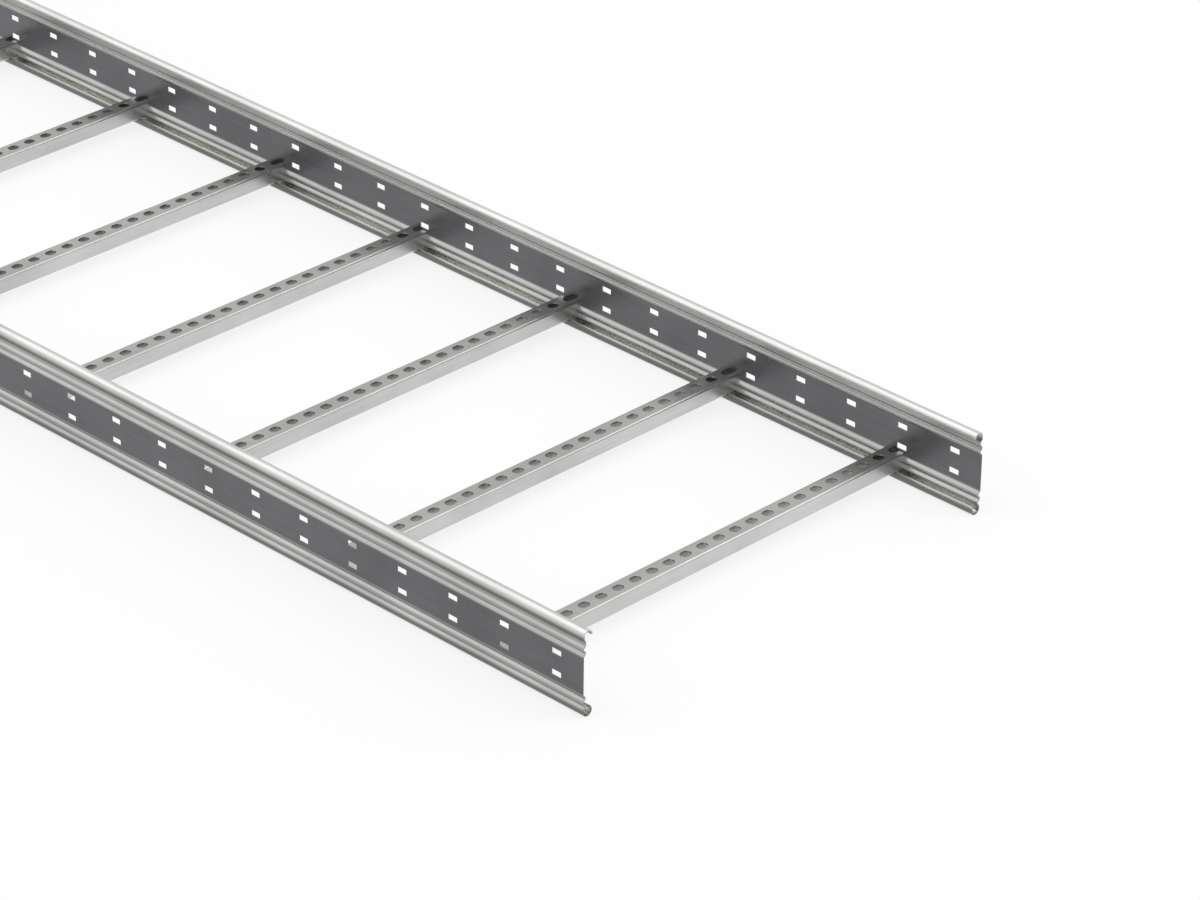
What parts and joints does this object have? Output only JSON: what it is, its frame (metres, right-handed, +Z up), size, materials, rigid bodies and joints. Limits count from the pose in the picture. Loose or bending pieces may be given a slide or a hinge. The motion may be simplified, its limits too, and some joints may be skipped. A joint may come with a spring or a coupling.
{
  "type": "cable ladder section",
  "caption": "Straight cable ladder section: roll-formed steel side rails with slotted webs and rolled edges, joined by perforated channel rungs that carry the cables.",
  "frame": {"origin": "on the floor, under the middle of the section", "axes": "+X along the ladder, towards the end that the picture shows; +Y across it, towards the left side rail; +Z up"},
  "size_m": [3, 0.6014, 0.1],
  "materials": {
    "rail_steel": "satin",
    "rung_steel": "satin"
  },
  "bodies": {
    "root": {"side_rail_left": "rail_steel", "side_rail_right": "rail_steel", "rung_01": "rung_steel", "rung_02": "rung_steel", "rung_03": "rung_steel", "rung_04": "rung_steel", "rung_05": "rung_steel", "rung_06": "rung_steel", "rung_07": "rung_steel", "rung_08": "rung_steel", "rung_09": "rung_steel", "rung_10": "rung_steel", "rung_11": "rung_steel", "rung_12": "rung_steel"}
  },
  "joints": []
}
